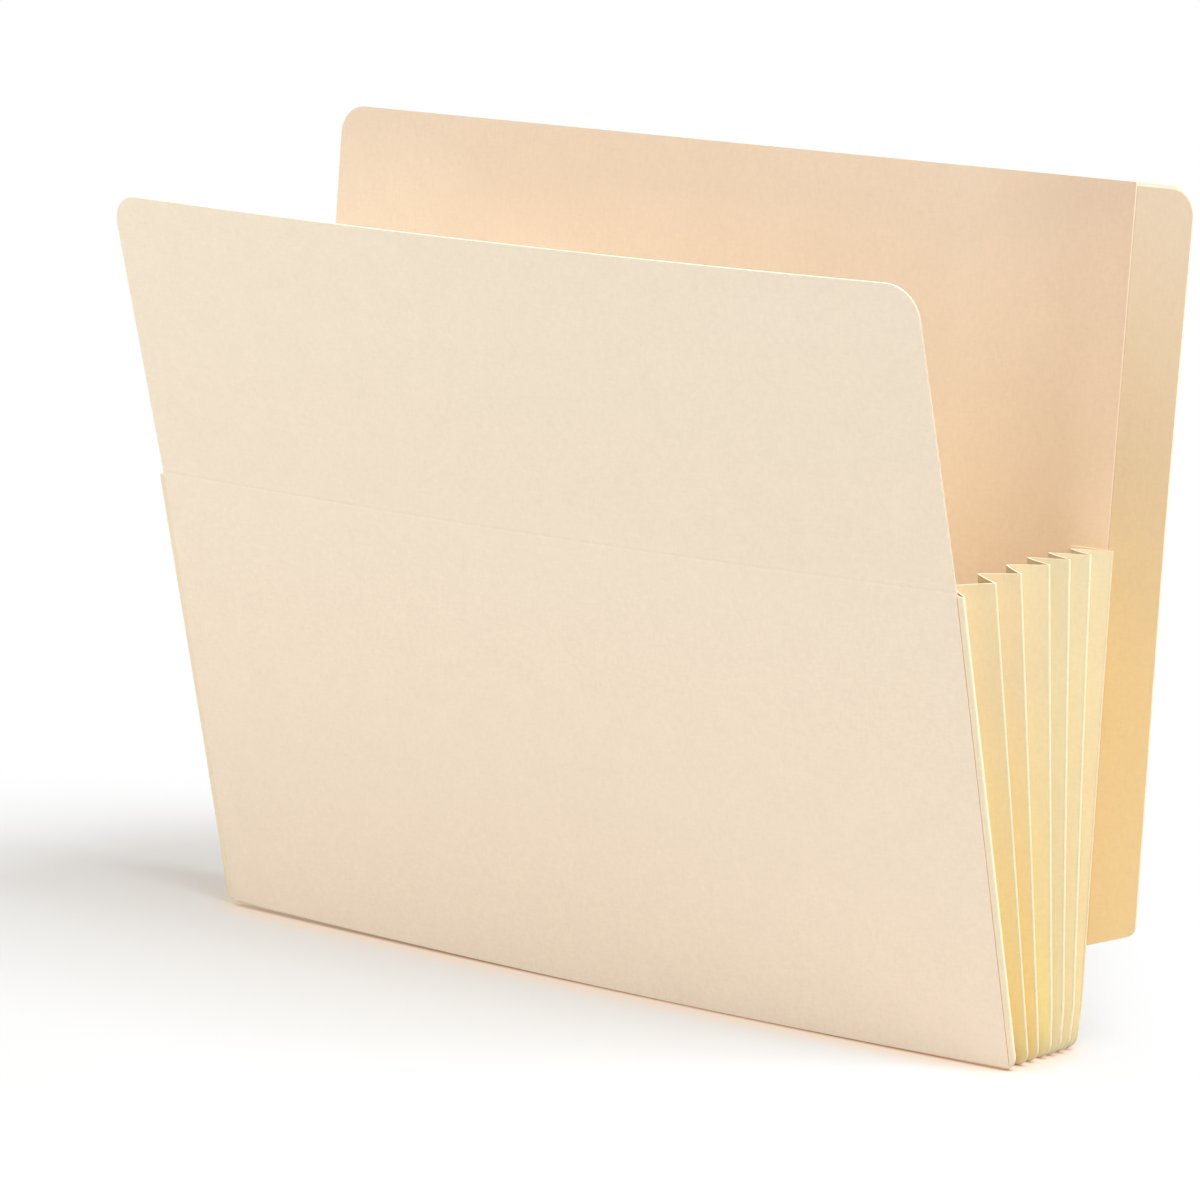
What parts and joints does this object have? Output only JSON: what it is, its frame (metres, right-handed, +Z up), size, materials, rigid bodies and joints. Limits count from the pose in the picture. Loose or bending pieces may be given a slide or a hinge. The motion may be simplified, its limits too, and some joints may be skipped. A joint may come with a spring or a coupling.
{
  "type": "file pocket",
  "caption": "Manila end-tab file pocket standing fanned open, with an accordion gusset and a scored front that folds down.",
  "frame": {"origin": "on the floor under the middle of the gusset's middle ridge, halfway between the pocket's two sides", "axes": "+X along the pocket's width towards the end tab, +Y from the front panel towards the back panel, +Z up"},
  "size_m": [0.3132, 0.1073, 0.2406],
  "materials": {
    "manila_board": "matt, finely fibrous",
    "manila_ply": "matt, finely fibrous",
    "gusset_paper": "matt, finely fibrous"
  },
  "bodies": {
    "back": {"back_sheet": "manila_board", "back_lining": "manila_ply", "tab_reinforcement": "manila_board", "back_flange": "gusset_paper"},
    "front": {"front_panel": "manila_board", "front_flange": "gusset_paper"},
    "flap": {"front_flap": "manila_board"},
    "crease_1": {"ridge_crease_1": "gusset_paper"},
    "crease_2": {"ridge_crease_2": "gusset_paper"},
    "crease_3": {"ridge_crease_3": "gusset_paper"},
    "crease_4": {"ridge_crease_4": "gusset_paper"},
    "crease_5": {"ridge_crease_5": "gusset_paper"},
    "right_leaf_01": {"gusset_right_leaf_01": "gusset_paper"},
    "left_leaf_01": {"gusset_left_leaf_01": "gusset_paper"},
    "bottom_leaf_01": {"gusset_bottom_leaf_01": "gusset_paper"},
    "right_leaf_02": {"gusset_right_leaf_02": "gusset_paper"},
    "left_leaf_02": {"gusset_left_leaf_02": "gusset_paper"},
    "bottom_leaf_02": {"gusset_bottom_leaf_02": "gusset_paper"},
    "right_leaf_03": {"gusset_right_leaf_03": "gusset_paper"},
    "left_leaf_03": {"gusset_left_leaf_03": "gusset_paper"},
    "bottom_leaf_03": {"gusset_bottom_leaf_03": "gusset_paper"},
    "right_leaf_04": {"gusset_right_leaf_04": "gusset_paper"},
    "left_leaf_04": {"gusset_left_leaf_04": "gusset_paper"},
    "bottom_leaf_04": {"gusset_bottom_leaf_04": "gusset_paper"},
    "right_leaf_05": {"gusset_right_leaf_05": "gusset_paper"},
    "left_leaf_05": {"gusset_left_leaf_05": "gusset_paper"},
    "bottom_leaf_05": {"gusset_bottom_leaf_05": "gusset_paper"},
    "right_leaf_06": {"gusset_right_leaf_06": "gusset_paper"},
    "left_leaf_06": {"gusset_left_leaf_06": "gusset_paper"},
    "bottom_leaf_06": {"gusset_bottom_leaf_06": "gusset_paper"},
    "right_leaf_07": {"gusset_right_leaf_07": "gusset_paper"},
    "left_leaf_07": {"gusset_left_leaf_07": "gusset_paper"},
    "bottom_leaf_07": {"gusset_bottom_leaf_07": "gusset_paper"},
    "right_leaf_08": {"gusset_right_leaf_08": "gusset_paper"},
    "left_leaf_08": {"gusset_left_leaf_08": "gusset_paper"},
    "bottom_leaf_08": {"gusset_bottom_leaf_08": "gusset_paper"},
    "right_leaf_09": {"gusset_right_leaf_09": "gusset_paper"},
    "left_leaf_09": {"gusset_left_leaf_09": "gusset_paper"},
    "bottom_leaf_09": {"gusset_bottom_leaf_09": "gusset_paper"},
    "right_leaf_10": {"gusset_right_leaf_10": "gusset_paper"},
    "left_leaf_10": {"gusset_left_leaf_10": "gusset_paper"},
    "bottom_leaf_10": {"gusset_bottom_leaf_10": "gusset_paper"},
    "right_leaf_11": {"gusset_right_leaf_11": "gusset_paper"},
    "left_leaf_11": {"gusset_left_leaf_11": "gusset_paper"},
    "bottom_leaf_11": {"gusset_bottom_leaf_11": "gusset_paper"},
    "right_leaf_12": {"gusset_right_leaf_12": "gusset_paper"},
    "left_leaf_12": {"gusset_left_leaf_12": "gusset_paper"},
    "bottom_leaf_12": {"gusset_bottom_leaf_12": "gusset_paper"}
  },
  "joints": [
    {"name": "expansion", "type": "hinge", "parent": "back", "child": "front", "pos_m": [0, 0.00236, -0.08676], "axis": [1, 0, 0], "range_deg": [-13.2, 6]},
    {"name": "flap_fold", "type": "hinge", "parent": "front", "child": "flap", "pos_m": [0, -0.04802, 0.13672], "axis": [1, 0, 0], "range_deg": [0, 165]},
    {"name": "crease_1_swing", "type": "hinge", "parent": "back", "child": "crease_1", "pos_m": [0, 0.00236, -0.08676], "axis": [1, 0, 0], "range_deg": [-10.49, 4.77]},
    {"name": "crease_2_swing", "type": "hinge", "parent": "back", "child": "crease_2", "pos_m": [0, 0.00236, -0.08676], "axis": [1, 0, 0], "range_deg": [-8.27, 3.76]},
    {"name": "crease_3_swing", "type": "hinge", "parent": "back", "child": "crease_3", "pos_m": [0, 0.00236, -0.08676], "axis": [1, 0, 0], "range_deg": [-5.76, 2.62]},
    {"name": "crease_4_swing", "type": "hinge", "parent": "back", "child": "crease_4", "pos_m": [0, 0.00236, -0.08676], "axis": [1, 0, 0], "range_deg": [-3.94, 1.79]},
    {"name": "crease_5_swing", "type": "hinge", "parent": "back", "child": "crease_5", "pos_m": [0, 0.00236, -0.08676], "axis": [1, 0, 0], "range_deg": [-2.05, 0.93]},
    {"name": "right_leaf_01_turn", "type": "hinge", "parent": "front", "child": "right_leaf_01", "pos_m": [0.14785, -0.01491, 0.00038], "axis": [0, 0.1994, -0.9799], "range_deg": [-37.58, 17.08]},
    {"name": "left_leaf_01_turn", "type": "hinge", "parent": "front", "child": "left_leaf_01", "pos_m": [-0.14785, -0.01491, 0.00038], "axis": [0, -0.1994, 0.9799], "range_deg": [-37.58, 17.08]},
    {"name": "bottom_leaf_01_turn", "type": "hinge", "parent": "front", "child": "bottom_leaf_01", "pos_m": [0, -0.01491, 0.00038], "axis": [-1, 0, 0], "range_deg": [-37.58, 17.08]},
    {"name": "right_leaf_02_turn", "type": "hinge", "parent": "crease_1", "child": "right_leaf_02", "pos_m": [0.14785, -0.00989, 0.00027], "axis": [0, -0.1371, 0.9906], "range_deg": [-39.23, 17.83]},
    {"name": "left_leaf_02_turn", "type": "hinge", "parent": "crease_1", "child": "left_leaf_02", "pos_m": [-0.14785, -0.00989, 0.00027], "axis": [0, 0.1371, -0.9906], "range_deg": [-39.23, 17.83]},
    {"name": "bottom_leaf_02_turn", "type": "hinge", "parent": "crease_1", "child": "bottom_leaf_02", "pos_m": [0, -0.00989, 0.00027], "axis": [1, 0, 0], "range_deg": [-39.23, 17.83]},
    {"name": "right_leaf_03_turn", "type": "hinge", "parent": "crease_1", "child": "right_leaf_03", "pos_m": [0.14785, -0.0095, 0.00032], "axis": [0, 0.1371, -0.9906], "range_deg": [-30.95, 14.07]},
    {"name": "left_leaf_03_turn", "type": "hinge", "parent": "crease_1", "child": "left_leaf_03", "pos_m": [-0.14785, -0.0095, 0.00032], "axis": [0, -0.1371, 0.9906], "range_deg": [-30.95, 14.07]},
    {"name": "bottom_leaf_03_turn", "type": "hinge", "parent": "crease_1", "child": "bottom_leaf_03", "pos_m": [0, -0.0095, 0.00032], "axis": [-1, 0, 0], "range_deg": [-30.95, 14.07]},
    {"name": "right_leaf_04_turn", "type": "hinge", "parent": "crease_2", "child": "right_leaf_04", "pos_m": [0.14785, -0.00532, 0.00028], "axis": [0, -0.0856, 0.9963], "range_deg": [-30.95, 14.07]},
    {"name": "left_leaf_04_turn", "type": "hinge", "parent": "crease_2", "child": "left_leaf_04", "pos_m": [-0.14785, -0.00532, 0.00028], "axis": [0, 0.0856, -0.9963], "range_deg": [-30.95, 14.07]},
    {"name": "bottom_leaf_04_turn", "type": "hinge", "parent": "crease_2", "child": "bottom_leaf_04", "pos_m": [0, -0.00532, 0.00028], "axis": [1, 0, 0], "range_deg": [-30.95, 14.07]},
    {"name": "right_leaf_05_turn", "type": "hinge", "parent": "crease_2", "child": "right_leaf_05", "pos_m": [0.14785, -0.00492, 0.00032], "axis": [0, 0.0856, -0.9963], "range_deg": [-35.58, 16.17]},
    {"name": "left_leaf_05_turn", "type": "hinge", "parent": "crease_2", "child": "left_leaf_05", "pos_m": [-0.14785, -0.00492, 0.00032], "axis": [0, -0.0856, 0.9963], "range_deg": [-35.58, 16.17]},
    {"name": "bottom_leaf_05_turn", "type": "hinge", "parent": "crease_2", "child": "bottom_leaf_05", "pos_m": [0, -0.00492, 0.00032], "axis": [-1, 0, 0], "range_deg": [-35.58, 16.17]},
    {"name": "right_leaf_06_turn", "type": "hinge", "parent": "crease_3", "child": "right_leaf_06", "pos_m": [0.14785, -0.00021, 0.00029], "axis": [0, -0.0272, 0.9996], "range_deg": [-35.58, 16.17]},
    {"name": "left_leaf_06_turn", "type": "hinge", "parent": "crease_3", "child": "left_leaf_06", "pos_m": [-0.14785, -0.00021, 0.00029], "axis": [0, 0.0272, -0.9996], "range_deg": [-35.58, 16.17]},
    {"name": "bottom_leaf_06_turn", "type": "hinge", "parent": "crease_3", "child": "bottom_leaf_06", "pos_m": [0, -0.00021, 0.00029], "axis": [1, 0, 0], "range_deg": [-35.58, 16.17]},
    {"name": "right_leaf_07_turn", "type": "hinge", "parent": "crease_3", "child": "right_leaf_07", "pos_m": [0.14785, 0.00019, 0.00031], "axis": [0, 0.0272, -0.9996], "range_deg": [-24.73, 11.24]},
    {"name": "left_leaf_07_turn", "type": "hinge", "parent": "crease_3", "child": "left_leaf_07", "pos_m": [-0.14785, 0.00019, 0.00031], "axis": [0, -0.0272, 0.9996], "range_deg": [-24.73, 11.24]},
    {"name": "bottom_leaf_07_turn", "type": "hinge", "parent": "crease_3", "child": "bottom_leaf_07", "pos_m": [0, 0.00019, 0.00031], "axis": [-1, 0, 0], "range_deg": [-24.73, 11.24]},
    {"name": "right_leaf_08_turn", "type": "hinge", "parent": "crease_4", "child": "right_leaf_08", "pos_m": [0.14785, 0.0035, 0.0003], "axis": [0, 0.0154, 0.9999], "range_deg": [-24.73, 11.24]},
    {"name": "left_leaf_08_turn", "type": "hinge", "parent": "crease_4", "child": "left_leaf_08", "pos_m": [-0.14785, 0.0035, 0.0003], "axis": [0, -0.0154, -0.9999], "range_deg": [-24.73, 11.24]},
    {"name": "bottom_leaf_08_turn", "type": "hinge", "parent": "crease_4", "child": "bottom_leaf_08", "pos_m": [0, 0.0035, 0.0003], "axis": [1, 0, 0], "range_deg": [-24.73, 11.24]},
    {"name": "right_leaf_09_turn", "type": "hinge", "parent": "crease_4", "child": "right_leaf_09", "pos_m": [0.14785, 0.0039, 0.0003], "axis": [0, -0.0154, -0.9999], "range_deg": [-25.74, 11.7]},
    {"name": "left_leaf_09_turn", "type": "hinge", "parent": "crease_4", "child": "left_leaf_09", "pos_m": [-0.14785, 0.0039, 0.0003], "axis": [0, 0.0154, 0.9999], "range_deg": [-25.74, 11.7]},
    {"name": "bottom_leaf_09_turn", "type": "hinge", "parent": "crease_4", "child": "bottom_leaf_09", "pos_m": [0, 0.0039, 0.0003], "axis": [-1, 0, 0], "range_deg": [-25.74, 11.7]},
    {"name": "right_leaf_10_turn", "type": "hinge", "parent": "crease_5", "child": "right_leaf_10", "pos_m": [0.14785, 0.00735, 0.00031], "axis": [0, 0.0596, 0.9982], "range_deg": [-25.74, 11.7]},
    {"name": "left_leaf_10_turn", "type": "hinge", "parent": "crease_5", "child": "left_leaf_10", "pos_m": [-0.14785, 0.00735, 0.00031], "axis": [0, -0.0596, -0.9982], "range_deg": [-25.74, 11.7]},
    {"name": "bottom_leaf_10_turn", "type": "hinge", "parent": "crease_5", "child": "bottom_leaf_10", "pos_m": [0, 0.00735, 0.00031], "axis": [1, 0, 0], "range_deg": [-25.74, 11.7]},
    {"name": "right_leaf_11_turn", "type": "hinge", "parent": "crease_5", "child": "right_leaf_11", "pos_m": [0.14785, 0.00775, 0.00029], "axis": [0, -0.0596, -0.9982], "range_deg": [-28.14, 12.79]},
    {"name": "left_leaf_11_turn", "type": "hinge", "parent": "crease_5", "child": "left_leaf_11", "pos_m": [-0.14785, 0.00775, 0.00029], "axis": [0, 0.0596, 0.9982], "range_deg": [-28.14, 12.79]},
    {"name": "bottom_leaf_11_turn", "type": "hinge", "parent": "crease_5", "child": "bottom_leaf_11", "pos_m": [0, 0.00775, 0.00029], "axis": [-1, 0, 0], "range_deg": [-28.14, 12.79]},
    {"name": "right_leaf_12_turn", "type": "hinge", "parent": "back", "child": "right_leaf_12", "pos_m": [0.14785, 0.01129, 0.00035], "axis": [0, 0.1071, 0.9942], "range_deg": [-26.68, 12.13]},
    {"name": "left_leaf_12_turn", "type": "hinge", "parent": "back", "child": "left_leaf_12", "pos_m": [-0.14785, 0.01129, 0.00035], "axis": [0, -0.1071, -0.9942], "range_deg": [-26.68, 12.13]},
    {"name": "bottom_leaf_12_turn", "type": "hinge", "parent": "back", "child": "bottom_leaf_12", "pos_m": [0, 0.01129, 0.00035], "axis": [1, 0, 0], "range_deg": [-26.68, 12.13]}
  ],
  "couplings": [
    {"joint": "crease_1_swing", "follows": "expansion", "ratio": 0.795},
    {"joint": "crease_2_swing", "follows": "expansion", "ratio": 0.62667},
    {"joint": "crease_3_swing", "follows": "expansion", "ratio": 0.43667},
    {"joint": "crease_4_swing", "follows": "expansion", "ratio": 0.29833},
    {"joint": "crease_5_swing", "follows": "expansion", "ratio": 0.155},
    {"joint": "right_leaf_01_turn", "follows": "expansion", "ratio": 2.8468},
    {"joint": "left_leaf_01_turn", "follows": "expansion", "ratio": 2.8468},
    {"joint": "bottom_leaf_01_turn", "follows": "expansion", "ratio": 2.8468},
    {"joint": "right_leaf_02_turn", "follows": "expansion", "ratio": 2.9716},
    {"joint": "left_leaf_02_turn", "follows": "expansion", "ratio": 2.9716},
    {"joint": "bottom_leaf_02_turn", "follows": "expansion", "ratio": 2.9716},
    {"joint": "right_leaf_03_turn", "follows": "expansion", "ratio": 2.3446},
    {"joint": "left_leaf_03_turn", "follows": "expansion", "ratio": 2.3446},
    {"joint": "bottom_leaf_03_turn", "follows": "expansion", "ratio": 2.3446},
    {"joint": "right_leaf_04_turn", "follows": "expansion", "ratio": 2.3446},
    {"joint": "left_leaf_04_turn", "follows": "expansion", "ratio": 2.3446},
    {"joint": "bottom_leaf_04_turn", "follows": "expansion", "ratio": 2.3446},
    {"joint": "right_leaf_05_turn", "follows": "expansion", "ratio": 2.6951},
    {"joint": "left_leaf_05_turn", "follows": "expansion", "ratio": 2.6951},
    {"joint": "bottom_leaf_05_turn", "follows": "expansion", "ratio": 2.6951},
    {"joint": "right_leaf_06_turn", "follows": "expansion", "ratio": 2.6951},
    {"joint": "left_leaf_06_turn", "follows": "expansion", "ratio": 2.6951},
    {"joint": "bottom_leaf_06_turn", "follows": "expansion", "ratio": 2.6951},
    {"joint": "right_leaf_07_turn", "follows": "expansion", "ratio": 1.8734},
    {"joint": "left_leaf_07_turn", "follows": "expansion", "ratio": 1.8734},
    {"joint": "bottom_leaf_07_turn", "follows": "expansion", "ratio": 1.8734},
    {"joint": "right_leaf_08_turn", "follows": "expansion", "ratio": 1.8734},
    {"joint": "left_leaf_08_turn", "follows": "expansion", "ratio": 1.8734},
    {"joint": "bottom_leaf_08_turn", "follows": "expansion", "ratio": 1.8734},
    {"joint": "right_leaf_09_turn", "follows": "expansion", "ratio": 1.9497},
    {"joint": "left_leaf_09_turn", "follows": "expansion", "ratio": 1.9497},
    {"joint": "bottom_leaf_09_turn", "follows": "expansion", "ratio": 1.9497},
    {"joint": "right_leaf_10_turn", "follows": "expansion", "ratio": 1.9497},
    {"joint": "left_leaf_10_turn", "follows": "expansion", "ratio": 1.9497},
    {"joint": "bottom_leaf_10_turn", "follows": "expansion", "ratio": 1.9497},
    {"joint": "right_leaf_11_turn", "follows": "expansion", "ratio": 2.1315},
    {"joint": "left_leaf_11_turn", "follows": "expansion", "ratio": 2.1315},
    {"joint": "bottom_leaf_11_turn", "follows": "expansion", "ratio": 2.1315},
    {"joint": "right_leaf_12_turn", "follows": "expansion", "ratio": 2.0214},
    {"joint": "left_leaf_12_turn", "follows": "expansion", "ratio": 2.0214},
    {"joint": "bottom_leaf_12_turn", "follows": "expansion", "ratio": 2.0214}
  ]
}
